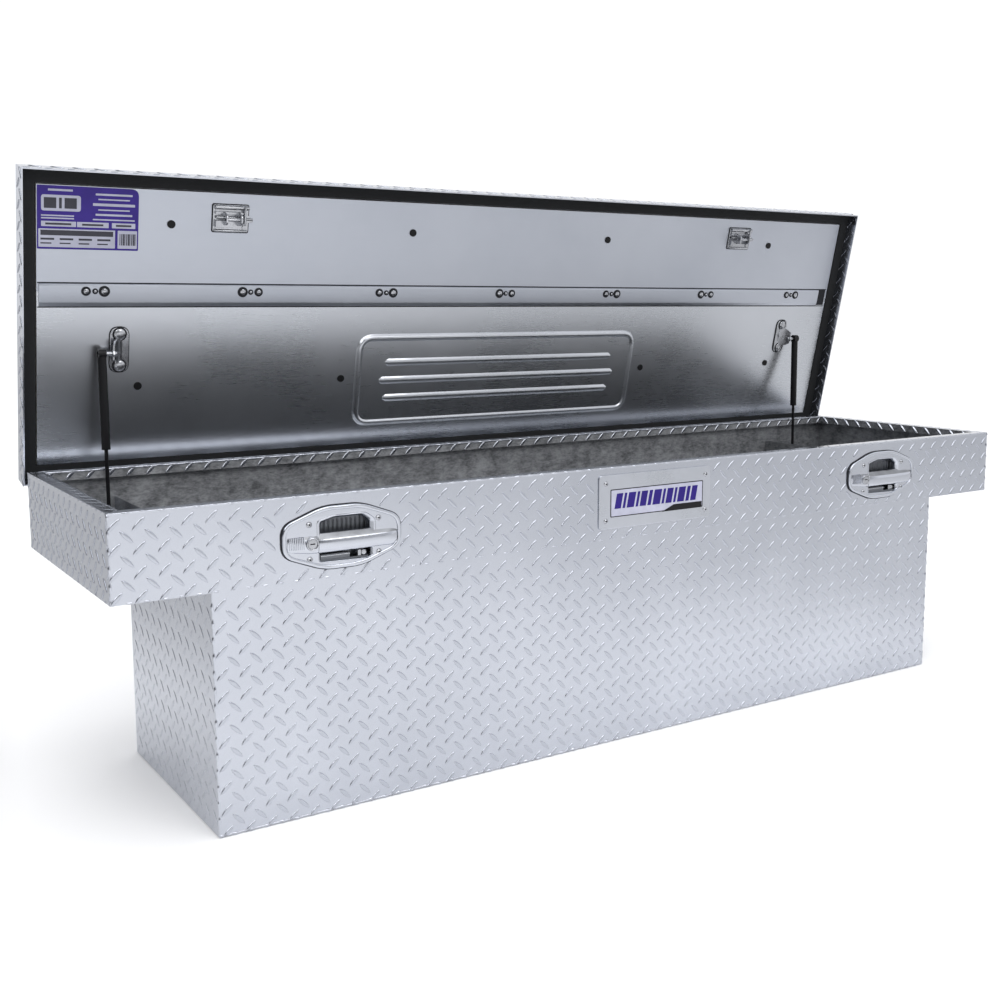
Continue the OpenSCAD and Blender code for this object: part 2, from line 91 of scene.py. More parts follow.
class Material:
    """A node material: the Principled shader, and short calls for the nodes that feed it."""

    def __init__(self, name, **sockets):
        self.mat = bpy.data.materials.new(name)
        self.mat.use_nodes = True
        self.tree = self.mat.node_tree
        self.shader = self.tree.nodes["Principled BSDF"]
        for key, value in sockets.items():
            self.shader.inputs[key.replace("_", " ")].default_value = value

    def node(self, kind, **values):
        new = self.tree.nodes.new(kind)
        for key, value in values.items():
            setattr(new, key, value)
        return new

    def link(self, out, into):
        self.tree.links.new(out, into)

    def coords(self, scale=(1, 1, 1), turn=(0, 0, 0)):
        source = self.node("ShaderNodeTexCoord")
        mapping = self.node("ShaderNodeMapping")
        mapping.inputs["Scale"].default_value = scale
        mapping.inputs["Rotation"].default_value = turn
        self.link(source.outputs["Object"], mapping.inputs["Vector"])
        return mapping.outputs["Vector"]

    def noise(self, vector, scale, detail=3.0, roughness=0.55):
        tex = self.node("ShaderNodeTexNoise")
        tex.inputs["Scale"].default_value = scale
        tex.inputs["Detail"].default_value = detail
        tex.inputs["Roughness"].default_value = roughness
        self.link(vector, tex.inputs["Vector"])
        return tex.outputs["Fac"]

    def ramp(self, value, stops):
        ramp = self.node("ShaderNodeValToRGB")
        elements = ramp.color_ramp.elements
        while len(elements) < len(stops):
            elements.new(0.5)
        for element, (place, colour) in zip(elements, stops):
            element.position = place
            element.color = (*colour, 1) if len(colour) == 3 else colour
        self.link(value, ramp.inputs["Fac"])
        return ramp.outputs["Color"]

    def spread(self, value, low, high, from_low=0.0, from_high=1.0):
        out = self.node("ShaderNodeMapRange")
        out.inputs["From Min"].default_value = from_low
        out.inputs["From Max"].default_value = from_high
        out.inputs["To Min"].default_value = low
        out.inputs["To Max"].default_value = high
        self.link(value, out.inputs["Value"])
        return out.outputs["Result"]

    def add(self, first, second, operation="ADD"):
        out = self.node("ShaderNodeMath", operation=operation)
        self.link(first, out.inputs[0])
        if isinstance(second, (int, float)):
            out.inputs[1].default_value = second
        else:
            self.link(second, out.inputs[1])
        return out.outputs["Value"]

    def bump(self, height, strength, distance, normal=None):
        out = self.node("ShaderNodeBump")
        out.inputs["Strength"].default_value = strength
        out.inputs["Distance"].default_value = distance
        self.link(height, out.inputs["Height"])
        if normal is not None:
            self.link(normal, out.inputs["Normal"])
        return out.outputs["Normal"]

    def feed(self, socket, value):
        self.link(value, self.shader.inputs[socket])


def metal(name, colours, rough, grain, grain_strength, stretch=(1, 1, 1), dents=0.0, cloud=3.0):
    """Bare metal: cloudy colour and roughness, brushed grain and soft dents."""
    m = Material(name, Metallic=1.0)
    wide = m.noise(m.coords(), cloud, 4.0)
    m.feed("Base Color", m.ramp(wide, [(0.3, colours[0]), (0.7, colours[1])]))
    brushed = m.noise(m.coords(stretch), grain, 4.0, 0.6)
    m.feed("Roughness", m.spread(m.add(wide, m.add(brushed, 0.5, "MULTIPLY")), *rough, 0.45, 1.05))
    normal = m.bump(brushed, grain_strength, 0.0004)
    if dents:
        normal = m.bump(m.noise(m.coords(), 9.0, 2.0), dents, 0.004, normal)
    m.feed("Normal", normal)
    return m.mat


# ---------------------------------------------------------------- materials

TREAD_COLOURS = ((0.480, 0.500, 0.550), (0.556, 0.577, 0.630))
TREAD_ROUGH = (0.16, 0.30)
TREAD = metal("tread_plate", TREAD_COLOURS, TREAD_ROUGH, 900.0, 0.05, dents=0.05)
# The lugs take a slightly darker copy of the tread metal: painted shade for their sloping sides.
LUG_METAL_PAINTED_SHADE = metal("tread_lug_painted_shade", ((0.445, 0.465, 0.515), (0.515, 0.535, 0.588)), (0.18, 0.32), 900.0, 0.05)


def tread_wall():
    """Tread sheet whose face towards the middle of the tub is dull and mottled."""
    m = Material("tread_wall", Metallic=1.0)
    source = m.node("ShaderNodeTexCoord")
    centred = m.node("ShaderNodeVectorMath", operation="SUBTRACT")
    m.link(source.outputs["Object"], centred.inputs[0])
    centred.inputs[1].default_value = (-0.02, 0.0, 0.25)
    facing = m.node("ShaderNodeVectorMath", operation="DOT_PRODUCT")
    m.link(centred.outputs["Vector"], facing.inputs[0])
    m.link(source.outputs["Normal"], facing.inputs[1])
    inside = m.spread(facing.outputs["Value"], 1.0, 0.0, -0.02, 0.02)
    wide = m.noise(m.coords(), 3.0, 4.0)
    speck = m.noise(m.coords((1.0, 1.0, 2.4)), 85.0, 5.0, 0.8)
    mottle = m.add(m.add(m.noise(m.coords(), 26.0, 4.0, 0.65), 0.45, "MULTIPLY"),
                   m.add(speck, 0.55, "MULTIPLY"))
    fine = m.noise(m.coords(), 900.0, 4.0, 0.6)
    bright = m.ramp(wide, [(0.3, TREAD_COLOURS[0]), (0.7, TREAD_COLOURS[1])])
    dull = m.ramp(mottle, [(0.38, (0.17, 0.175, 0.185)), (0.62, (0.50, 0.51, 0.53))])
    mix = m.node("ShaderNodeMix", data_type="RGBA")
    m.link(inside, mix.inputs["Factor"])
    m.link(bright, mix.inputs["A"])
    m.link(dull, mix.inputs["B"])
    m.feed("Base Color", mix.outputs["Result"])
    shine = m.node("ShaderNodeMix", data_type="FLOAT")
    m.link(inside, shine.inputs["Factor"])
    m.link(m.spread(m.add(wide, m.add(fine, 0.5, "MULTIPLY")), *TREAD_ROUGH, 0.45, 1.05), shine.inputs["A"])
    m.link(m.spread(mottle, 0.50, 0.72), shine.inputs["B"])
    m.feed("Roughness", shine.outputs["Result"])
    m.feed("Normal", m.bump(m.noise(m.coords(), 9.0, 2.0), 0.05, 0.004, m.bump(
        m.add(speck, inside, "MULTIPLY"), 0.35, 0.0012, m.bump(fine, 0.05, 0.0004))))
    return m.mat


TREAD_WALL = tread_wall()
TREAD_INSIDE = metal("tread_back", ((0.27, 0.276, 0.288), (0.46, 0.47, 0.488)), (0.48, 0.66), 700.0, 0.08,
                     dents=0.05, cloud=24.0)
LINER_UP = metal("liner_upper_sheet", ((0.44, 0.465, 0.52), (0.53, 0.555, 0.61)), (0.30, 0.46), 600.0, 0.10,
                 stretch=(0.03, 1, 1), dents=0.04)
LINER_LOW = metal("liner_lower_sheet", ((0.52, 0.54, 0.575), (0.59, 0.61, 0.65)), (0.24, 0.33), 500.0, 0.013,
                  stretch=(0.05, 1, 1), dents=0.06)
CHROME = metal("polished_pressing", ((0.49, 0.51, 0.56), (0.56, 0.58, 0.63)), (0.14, 0.26), 500.0, 0.03,
               stretch=(0.06, 1, 1))
# The upper faces of the pull bar and rib take this darker copy of the polished metal: painted shade that
# tones down their highlight.
BAR_TOP_PAINTED_SHADE = metal("bar_top_painted_shade", ((0.22, 0.225, 0.24), (0.30, 0.31, 0.33)), (0.28, 0.40), 500.0, 0.05, cloud=60.0)
CUP = metal("cup_pressing", ((0.10, 0.105, 0.115), (0.20, 0.21, 0.23)), (0.30, 0.50), 500.0, 0.08)
ZINC = metal("zinc_steel", ((0.36, 0.37, 0.39), (0.50, 0.51, 0.54)), (0.16, 0.34), 400.0, 0.06, cloud=30.0)
BRUSHED = metal("brushed_badge", ((0.50, 0.52, 0.56), (0.56, 0.58, 0.63)), (0.24, 0.36), 900.0, 0.12,
                stretch=(0.02, 1, 1), cloud=12.0)
HINGE_METAL = metal("hinge_leaf_metal", ((0.60, 0.62, 0.65), (0.70, 0.72, 0.75)), (0.30, 0.45), 500.0, 0.08,
                    stretch=(0.05, 1, 1))


def foam(name, colour, rough):
    """Closed-cell foam: matt, with fine cells."""
    m = Material(name, Roughness=rough)
    fine = m.noise(m.coords(), 900.0, 2.0)
    lighter = tuple(min(1, c * 1.5 + 0.004) for c in colour)
    m.feed("Base Color", m.ramp(fine, [(0.35, colour), (0.7, lighter)]))
    m.feed("Normal", m.bump(fine, 0.35, 0.0006))
    return m.mat


def gloss(name, colour, rough, shine=0.3):
    """Painted or printed surface with a faint orange peel."""
    m = Material(name, Specular_IOR_Level=shine)
    wide = m.noise(m.coords(), 40.0, 3.0)
    darker = tuple(c * 0.86 for c in colour)
    m.feed("Base Color", m.ramp(wide, [(0.35, darker), (0.65, colour)]))
    m.feed("Roughness", m.spread(wide, rough * 0.8, rough * 1.2))
    m.feed("Normal", m.bump(m.noise(m.coords(), 500.0, 2.0), 0.04, 0.0004))
    return m.mat


SEAL = foam("black_seal", (0.0045, 0.0052, 0.0065), 0.85)
CORE = foam("core_foam", (0.70, 0.68, 0.60), 0.9)
PLUG = gloss("black_plug", (0.008, 0.008, 0.009), 0.45, 0.2)
BLACK = gloss("black_enamel", (0.007, 0.007, 0.0085), 0.34, 0.22)
# Black for painted shade: gap lines, screw sockets, keyways, rings round rivets and screws, and the outlines
# under bezels and feet.
PAINTED_SHADE = gloss("painted_shade_black", (0.022, 0.023, 0.027), 0.6, 0.15)
PRINT_BLUE = gloss("print_blue", (0.052, 0.032, 0.245), 0.45, 0.15)
PRINT_WHITE = gloss("print_white", (0.50, 0.51, 0.62), 0.45, 0.2)
PRINT_GREY = gloss("print_grey", (0.06, 0.06, 0.075), 0.45, 0.15)
INK_BLUE = gloss("badge_blue", (0.032, 0.019, 0.190), 0.45, 0.12)


# ---------------------------------------------------------------- mesh helpers


def finish_piece(bm, name, body, mats, bevel=0.0, smooth=True, limit=35):
    """Makes an object of a bmesh, rides it on a body and rounds its edges."""
    mesh = bpy.data.meshes.new(name)
    bmesh.ops.recalc_face_normals(bm, faces=bm.faces)
    bm.to_mesh(mesh)
    bm.free()
    obj = bpy.data.objects.new(name, mesh)
    bpy.context.scene.collection.objects.link(obj)
    for mat in mats if isinstance(mats, (list, tuple)) else [mats]:
        mesh.materials.append(mat)
    if smooth:
        mesh.shade_smooth()
    if bevel:
        add_bevel(obj, bevel, limit)
    elif smooth:
        sharp_edges(mesh, limit)
    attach(obj, body)
    return obj


def sharp_edges(mesh, limit):
    """Marks edges sharper than the limit as sharp, so that flat faces stay flat."""
    bm = bmesh.new()
    bm.from_mesh(mesh)
    for edge in bm.edges:
        if len(edge.link_faces) == 2 and edge.calc_face_angle(0) > math.radians(limit):
            edge.smooth = False
    bm.to_mesh(mesh)
    bm.free()


def add_bevel(obj, width, limit=35):
    """Rounds the edges of an object."""
    bevel = obj.modifiers.new("edges", "BEVEL")
    bevel.width = width
    bevel.segments = 2
    bevel.limit_method = "ANGLE"
    bevel.angle_limit = math.radians(limit)
    bevel.harden_normals = True
    bevel.miter_outer = "MITER_ARC"


def add_box(bm, low, high, matrix, mat=0):
    """Adds a box between two corners, in the matrix's own axes."""
    low, high = Vector(low), Vector(high)
    verts = bmesh.ops.create_cube(bm, size=1.0)["verts"]
    for v in verts:
        v.co = matrix @ Vector([(low[i] + high[i]) / 2 + v.co[i] * (high[i] - low[i]) for i in range(3)])
    for face in {f for v in verts for f in v.link_faces}:
        face.material_index = mat


def add_lathe(bm, profile, matrix, steps, mat=0):
    """Adds a turned solid: profile is (radius, height) pairs from axis to axis, turned about local Z."""
    rings = []
    for radius, height in profile:
        if radius <= 1e-9:
            rings.append([bm.verts.new(matrix @ Vector((0, 0, height)))])
            continue
        ring = []
        for i in range(steps):
            a = 2 * math.pi * i / steps
            ring.append(bm.verts.new(matrix @ Vector((radius * math.cos(a), radius * math.sin(a), height))))
        rings.append(ring)
    for low, high in zip(rings, rings[1:]):
        for i in range(steps):
            j = (i + 1) % steps
            corners = [low[i % len(low)], low[j % len(low)], high[j % len(high)], high[i % len(high)]]
            unique = list(dict.fromkeys(corners))
            if len(unique) >= 3:
                bm.faces.new(unique).material_index = mat


def rounded(points, radii, steps=6):
    """A closed outline with its corners rounded: points are (x, y), radii one per corner."""
    out = []
    count = len(points)
    for i in range(count):
        here = Vector(points[i])
        back = (Vector(points[i - 1]) - here)
        ahead = (Vector(points[(i + 1) % count]) - here)
        angle = back.angle(ahead)
        reach = radii[i] / math.tan(angle / 2)
        start = here + back.normalized() * reach
        end = here + ahead.normalized() * reach
        for k in range(steps + 1):
            f = k / steps
            out.append((1 - f) ** 2 * start + 2 * f * (1 - f) * here + f ** 2 * end)
    return out


def place_front(x0, y0, z0):
    """Local X stays X, local Y becomes Z and local Z points out of the front."""
    return Matrix.Translation((x0, y0, z0)) @ Matrix.Rotation(math.radians(90), 4, "X")


def add_prism(bm, outline, low, high, matrix):
    """Adds a prism of an outline from low to high."""
    loft(bm, [[matrix @ Vector((*p, height)) for p in outline] for height in (low, high)])


def plate(name, outlines, low, high, matrix, body, mats, bevel=0.0):
    """A flat plate of closed outlines in local XY; outlines inside the first one are holes."""
    curve = bpy.data.curves.new(name, "CURVE")
    curve.dimensions = "2D"
    curve.fill_mode = "BOTH"
    curve.extrude = (high - low) / 2 - bevel
    curve.bevel_depth = bevel
    curve.bevel_resolution = 2
    curve.offset = -bevel
    for outline in outlines:
        spline = curve.splines.new("POLY")
        spline.points.add(len(outline) - 1)
        for point, place in zip(spline.points, outline):
            point.co = (place[0], place[1], 0, 1)
        spline.use_cyclic_u = True
    holder = bpy.data.objects.new(name, curve)
    bpy.context.scene.collection.objects.link(holder)
    bpy.context.view_layer.update()
    mesh = bpy.data.meshes.new_from_object(holder)
    bpy.data.objects.remove(holder)
    bpy.data.curves.remove(curve)
    mesh.name = name
    mesh.transform(matrix @ Matrix.Translation((0, 0, (low + high) / 2)))
    bm = bmesh.new()
    bm.from_mesh(mesh)
    bmesh.ops.remove_doubles(bm, verts=bm.verts, dist=1e-6)
    bpy.data.meshes.remove(mesh)
    piece = finish_piece(bm, name, body, mats, limit=50)
    piece.modifiers.new("flat_faces", "WEIGHTED_NORMAL").keep_sharp = True
    return piece


def box_outline(x0, x1, y0, y1, radius, steps=5):
    """A rectangle with rounded corners."""
    return rounded([(x0, y0), (x1, y0), (x1, y1), (x0, y1)], [radius] * 4, steps)


def scaled(outline, x_factor, y_factor):
    """The outline scaled about its own origin."""
    return [Vector((p[0] * x_factor, p[1] * y_factor)) for p in outline]


def in_mm(*values):
    """Values given in millimetres, in metres."""
    return tuple(value * MM for value in values)


def mm(points):
    """Points given in millimetres, in metres."""
    return [in_mm(*p) for p in points]


def loft(bm, rings, top=None):
    """Skins closed rings of the same length and caps both ends; faces from index top on take finish 1."""
    rows = [[bm.verts.new(p) for p in ring] for ring in rings]
    count = len(rows[0])
    bm.faces.new(rows[0][::-1])
    bm.faces.new(rows[-1])
    for a, b in zip(rows, rows[1:]):
        for i in range(count):
            j = (i + 1) % count
            side = bm.faces.new((a[i], a[j], b[j], b[i]))
            side.material_index = 1 if top is not None and top <= i < count - 1 else 0


def dress(node, mat, bevel=0.0):
    """Gives a CAD node its finish and rounds its edges."""
    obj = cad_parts[node]
    obj.data.materials.clear()
    obj.data.materials.append(mat)
    if bevel:
        add_bevel(obj, bevel)


# ---------------------------------------------------------------- tread lugs

LUG_PITCH = 16 * MM
LUG_LONG = 12.5 * MM
LUG_WIDE = 3.1 * MM
LUG_HIGH = 1.15 * MM
LUG_SIDES = 14


def lug_rings(long, wide, high):
    """Rings of one raised lug: a pointed oval foot that rises to a rounded ridge."""
    levels = [(1.0, -0.0003), (0.93, 0.35 * high), (0.78, 0.78 * high), (0.50, high)]
    rings = []
    for size, height in levels:
        ring = []
        for k in range(LUG_SIDES):
            a = 2 * math.pi * k / LUG_SIDES
            x = long * size * math.cos(a)
            pinch = 1 - 0.35 * abs(math.cos(a)) ** 3
            y = wide * size * math.sin(a) * pinch
            ring.append(Vector((x, y, height)))
        rings.append(ring)
    return rings


# The two lugs that alternate along a row, turned 45 degrees either way
LUG = [[[Matrix.Rotation(math.radians(turn), 4, "Z") @ p for p in ring]
        for ring in lug_rings(LUG_LONG, LUG_WIDE, LUG_HIGH)] for turn in (45, -45)]
LUG_MARGIN = 0.75 * MM
LUG_INSET = 0.6 * MM


def tread(name, body, panels, rise=1.0):
    """One piece of tread lugs on the panels of one body.

    A panel is (origin, along, up, width, height, shift, holes): its corner and directions, its size, where
    its first lug is, and tests that are true where it has none. Rise scales the height of the lugs.
    """
    verts = []
    faces = []
    for origin, along, up, width, height, shift, holes in panels:
        origin, along, up = Vector(origin), Vector(along).normalized(), Vector(up).normalized()
        out = along.cross(up)
        i0 = math.floor(-shift[0] / LUG_PITCH)
        i1 = math.ceil((width - shift[0]) / LUG_PITCH)
        j0 = math.floor(-shift[1] / LUG_PITCH)
        j1 = math.ceil((height - shift[1]) / LUG_PITCH)
        for i in range(i0, i1 + 1):
            for j in range(j0, j1 + 1):
                if (i + j) % 2:
                    continue
                x = shift[0] + i * LUG_PITCH
                y = shift[1] + j * LUG_PITCH
                if not (LUG_MARGIN < x < width - LUG_MARGIN and LUG_MARGIN < y < height - LUG_MARGIN):
                    continue
                if any(hole(x, y) for hole in holes):
                    continue
                base = len(verts)
                for ring in LUG[i % 2]:
                    for p in ring:
                        px = min(max(x + p.x, LUG_INSET), width - LUG_INSET)
                        py = min(max(y + p.y, LUG_INSET), height - LUG_INSET)
                        verts.append(origin + along * px + up * py + out * (p.z * rise))
                top = base + (len(LUG[0]) - 1) * LUG_SIDES
                for a in range(base, top, LUG_SIDES):
                    for k in range(LUG_SIDES):
                        m = (k + 1) % LUG_SIDES
                        faces.append((a + k, a + m, a + LUG_SIDES + m, a + LUG_SIDES + k))
                faces.append(tuple(top + k for k in range(LUG_SIDES)))
                faces.append(tuple(base + k for k in reversed(range(LUG_SIDES))))
    mesh = bpy.data.meshes.new(name)
    mesh.from_pydata([tuple(v) for v in verts], [], faces)
    mesh.shade_smooth()
    mesh.materials.append(LUG_METAL_PAINTED_SHADE)
    obj = bpy.data.objects.new(name, mesh)
    bpy.context.scene.collection.objects.link(obj)
    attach(obj, body)


def outside_box(x0, x1, y0, y1):
    """True for a lug whose centre is in this rectangle of its panel."""
    return lambda x, y: x0 < x < x1 and y0 < y < y1


def handle_gap(centre_x):
    """The octagon that a handle bezel covers, as a hole in the band's lugs."""

    def covered(x, y):
        dx = abs(x - (centre_x + HALF_W))
        dy = abs(y - (HANDLE_Z - BAND_Z))
        return dx < 0.094 and dy < 0.049 and dx * 0.36 + dy < 0.063

    return covered


X_AXIS, Y_AXIS, Z_AXIS = Vector((1, 0, 0)), Vector((0, 1, 0)), Vector((0, 0, 1))
BAND_HEIGHT = TOP_Z - BAND_Z
DEPTH = REAR_Y - FRONT_Y
CORNER = in_mm(8, 8)
RIM_W = 20 * MM
REAR_RIM_W = 18 * MM
LIP_DROP = 15 * MM
badge_low, badge_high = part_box("badge_plate")
badge_gap = outside_box(badge_low.x + HALF_W - 0.004, badge_high.x + HALF_W + 0.004,
                        badge_low.z - BAND_Z - 0.004, badge_high.z - BAND_Z + 0.004)

tread("tread_front_band", "tub", [
    ((-HALF_W, FRONT_Y, BAND_Z), X_AXIS, Z_AXIS, 2 * HALF_W, BAND_HEIGHT, CORNER,
     [handle_gap(-HANDLE_X), handle_gap(HANDLE_X), badge_gap]),
])
tread("tread_front_wall", "tub", [
    ((TUB_LEFT, FRONT_Y, 0), X_AXIS, Z_AXIS, TUB_RIGHT - TUB_LEFT, BAND_Z - 0.0015, in_mm(12, 5), []),
])
tread("tread_rear", "tub", [
    ((HALF_W, REAR_Y, BAND_Z), -X_AXIS, Z_AXIS, 2 * HALF_W, BAND_HEIGHT, CORNER,
     [outside_box(0, 2 * HALF_W, TOP_Z - BAND_Z - 0.082, TOP_Z - BAND_Z - 0.044)]),
    ((TUB_RIGHT, TUB_REAR, 0), -X_AXIS, Z_AXIS, TUB_RIGHT - TUB_LEFT, BAND_Z, CORNER, []),
])
tread("tread_left", "tub", [
    ((-HALF_W, REAR_Y, BAND_Z), -Y_AXIS, Z_AXIS, DEPTH, BAND_HEIGHT, CORNER, []),
])
tread("tread_left_wall", "tub", [
    ((TUB_LEFT, TUB_REAR, 0), -Y_AXIS, Z_AXIS, TUB_REAR - FRONT_Y, BAND_Z, CORNER, []),
], 0.45)
tread("tread_right", "tub", [
    ((HALF_W, FRONT_Y, BAND_Z), Y_AXIS, Z_AXIS, DEPTH, BAND_HEIGHT, CORNER, []),
    ((TUB_RIGHT, FRONT_Y, 0), Y_AXIS, Z_AXIS, TUB_REAR - FRONT_Y, BAND_Z, CORNER, []),
])
tread("tread_rims", "tub", [
    ((-HALF_W, FRONT_Y, TOP_Z), X_AXIS, Y_AXIS, 2 * HALF_W, RIM_W, in_mm(8, 10), []),
    ((-HALF_W, REAR_Y - REAR_RIM_W, TOP_Z), X_AXIS, Y_AXIS, 2 * HALF_W, REAR_RIM_W, in_mm(8, 9), []),
    ((-HALF_W + RIM_W, FRONT_Y, TOP_Z), Y_AXIS, -X_AXIS, DEPTH, RIM_W, in_mm(8, 10), []),
    ((HALF_W - RIM_W, REAR_Y, TOP_Z), -Y_AXIS, X_AXIS, DEPTH, RIM_W, in_mm(8, 10), []),
], 0.28)
tread("tread_lips", "tub", [
    ((-HALF_W + RIM_W, REAR_Y - REAR_RIM_W, TOP_Z - LIP_DROP), X_AXIS, Z_AXIS, 2 * (HALF_W - RIM_W), LIP_DROP,
     CORNER, []),
    ((-HALF_W + RIM_W, REAR_Y, TOP_Z - LIP_DROP), -Y_AXIS, Z_AXIS, DEPTH, LIP_DROP, CORNER, []),
    ((HALF_W - RIM_W, FRONT_Y, TOP_Z - LIP_DROP), Y_AXIS, Z_AXIS, DEPTH, LIP_DROP, CORNER, []),
])


def lid_panel(x0, t0, n0, along, up, width, height, shift):
    """A lug panel on the lid, given in the closed lid's own axes."""
    turn = LID_POSE.to_3x3()
    return (lid_point(x0, t0, n0), turn @ Vector(along), turn @ Vector(up), width, height, shift, [])


tread("tread_lid", "lid", [
    lid_panel(-LID_HALF, LID_LEN, SKIRT_H, (1, 0, 0), (0, 1, 0), 2 * LID_HALF, LID_LEN, CORNER),
    lid_panel(-LID_HALF, LID_LEN, 0, (1, 0, 0), (0, 0, 1), 2 * LID_HALF, SKIRT_H, CORNER),
    lid_panel(-LID_HALF, 0, 0, (0, -1, 0), (0, 0, 1), LID_LEN, SKIRT_H, CORNER),
    lid_panel(LID_HALF, LID_LEN, 0, (0, 1, 0), (0, 0, 1), LID_LEN, SKIRT_H, CORNER),
])
tread("tread_lid_inside", "lid", [
    lid_panel(LID_HALF - SHEET, 0, 0, (0, -1, 0), (0, 0, 1), LID_LEN, 24 * MM, in_mm(8, 6)),
], 0.5)

# ---------------------------------------------------------------- rounded bends of the sheet


# How far the bends may stand out, so that the shut lid clears them
BEND_X = HALF_W + 1.2 * MM
BEND_Z = TOP_Z + 0.35 * MM
BUMP_PITCH = 23 * MM


def bend(name, body, runs):
    """Rounded bends along sheet edges, each with the tread's lugs crossing it as small bumps."""
    bm = bmesh.new()
    for start, end, out, radius in runs:
        start, end, out = Vector(start), Vector(end), Vector(out).normalized()
        along = (end - start).normalized()
        side = along.cross(out)
        steps = max(2, int((end - start).length / (BUMP_PITCH / 10)))
        rings = []
        for k in range(steps + 1):
            s = k / steps
            phase = (end - start).length * s / BUMP_PITCH
            near = abs(phase - round(phase))
            grow = 1 + 0.8 * max(0.0, 1 - (near / 0.2) ** 2) * (1 if 0 < k < steps else 0)
            lean = 0.5 if round(phase) % 2 else -0.5
            ring = []
            for i in range(9):
                a = math.radians(-100 + 200 * i / 8)
                extra = grow if abs(a - lean) < 1.1 else 1 + (grow - 1) * 0.3
                p = start + (end - start) * s + (out * math.cos(a) + side * math.sin(a)) * radius * extra
                ring.append((max(-BEND_X, min(BEND_X, p.x)), p.y, min(BEND_Z, p.z)))
            rings.append([bm.verts.new(p) for p in ring])
        for a, b in zip(rings, rings[1:]):
            for i in range(8):
                bm.faces.new((a[i], a[i + 1], b[i + 1], b[i]))
    piece = finish_piece(bm, name, body, TREAD, limit=180)


# The centre lines of the bends lie this far inside the sheet's faces
BEND_IN = 1.3 * MM
BEND_R = 1.6 * MM
FRONT, REAR, SIDE = FRONT_Y + BEND_IN, REAR_Y - BEND_IN, HALF_W - BEND_IN
TOP, LOW = TOP_Z - BEND_IN, BAND_Z + BEND_IN
LIP_X, LIP_REAR, LIP_TOP = HALF_W - RIM_W, REAR_Y - 0.0175, TOP_Z - 1.2 * MM
bend("tub_bends", "tub", [
    ((-SIDE, FRONT, TOP), (SIDE, FRONT, TOP), (0, -1, 1), BEND_R),
    ((-SIDE, REAR, TOP), (SIDE, REAR, TOP), (0, 1, 1), BEND_R),
    ((-SIDE, FRONT, TOP), (-SIDE, REAR, TOP), (-1, 0, 1), BEND_R),
    ((SIDE, FRONT, TOP), (SIDE, REAR, TOP), (1, 0, 1), BEND_R),
    ((-SIDE, FRONT, LOW), (-SIDE, FRONT, TOP), (-1, -1, 0), BEND_R),
    ((SIDE, FRONT, LOW), (SIDE, FRONT, TOP), (1, -1, 0), BEND_R),
    ((-SIDE, FRONT, LOW), (SIDE, FRONT, LOW), (0, -1, -1), BEND_R * 0.8),
    ((-SIDE, FRONT, LOW), (-SIDE, REAR, LOW), (-1, 0, -1), BEND_R * 0.8),
    ((TUB_LEFT + BEND_IN, FRONT, 1.3 * MM), (TUB_LEFT + BEND_IN, FRONT, BAND_Z), (-1, -1, 0), BEND_R),
    ((TUB_RIGHT - BEND_IN, FRONT, 1.3 * MM), (TUB_RIGHT - BEND_IN, FRONT, BAND_Z), (1, -1, 0), BEND_R),
    ((TUB_LEFT, FRONT, 1.4 * MM), (TUB_RIGHT, FRONT, 1.4 * MM), (0, -1, 0), 1.7 * MM),
    ((-LIP_X, LIP_REAR, LIP_TOP), (LIP_X, LIP_REAR, LIP_TOP), (0, -1, 1), 1.8 * MM),
    ((-LIP_X, FRONT_Y + RIM_W, LIP_TOP), (-LIP_X, REAR_Y - REAR_RIM_W, LIP_TOP), (1, 0, 1), 1.8 * MM),
])

# ---------------------------------------------------------------- handles

OCTAGON = rounded(mm([(-30, -45), (30, -45), (91.5, -22), (91.5, 22), (30, 45), (-30, 45), (-91.5, 22),
                      (-91.5, -22)]), in_mm(95, 95, 24, 24, 95, 95, 24, 24), 12)
POCKET = rounded(mm([(-39, 2), (51, 2), (51, 21), (36, 31.5), (-14, 31.5), (-39, 25)]),
                 in_mm(2, 2, 9, 20, 30, 5), 8)
SLOT = rounded(mm([(-37, -33.5), (38, -35), (46, -31), (46, -21), (-37, -20)]),
               in_mm(4, 4, 3, 1.5, 1.5), 4)
# Section of the pull bar: (height, out from the sheet), from the lower back edge round the front
BAR_SECTION = [(-20, -1.5), (-20.8, 2.6), (-20.2, 4.4), (-18.2, 5.9), (-13, 6.9), (-8, 7.1), (-4, 6.8),
               (-1.2, 6.0), (1.2, 4.7), (4, 3.2), (6.2, 1.6), (7, 0.2), (7, -1.5)]


def bar_ring(handle, x, low, high, out, spread=1.0):
    """One ring of the pull bar at x, its section fitted between low and high."""
    ring = []
    for height, depth in BAR_SECTION:
        f = (height + 20.8) / 27.8
        mid = (low + high) / 2
        z = mid + (low + f * (high - low) - mid) * spread
        ring.append(handle @ Vector((x * MM, z * MM, (depth * out / 7.1 if depth > 0 else depth) * MM)))
    return ring


def surround(bm, handle, outline, depth, factor, centre):
    """The scooped wall of a handle window, from the bezel's face inwards."""
    centre = Vector(centre) * MM
    rings = []
    for f, z in ((0.0, 3.0), (0.15, 3.5), (0.35, 3.0), (0.8, -0.6), (0.95, -2.5), (1.0, -depth)):
        grow = 1 + (factor - 1) * f
        rings.append([bm.verts.new(handle @ Vector((centre.x + (p[0] - centre.x) * grow,
                                                    centre.y + (p[1] - centre.y) * grow, z * MM)))
                      for p in outline])
    count = len(outline)
    for a, b in zip(rings, rings[1:]):
        for i in range(count):
            j = (i + 1) % count
            bm.faces.new((a[i], a[j], b[j], b[i]))


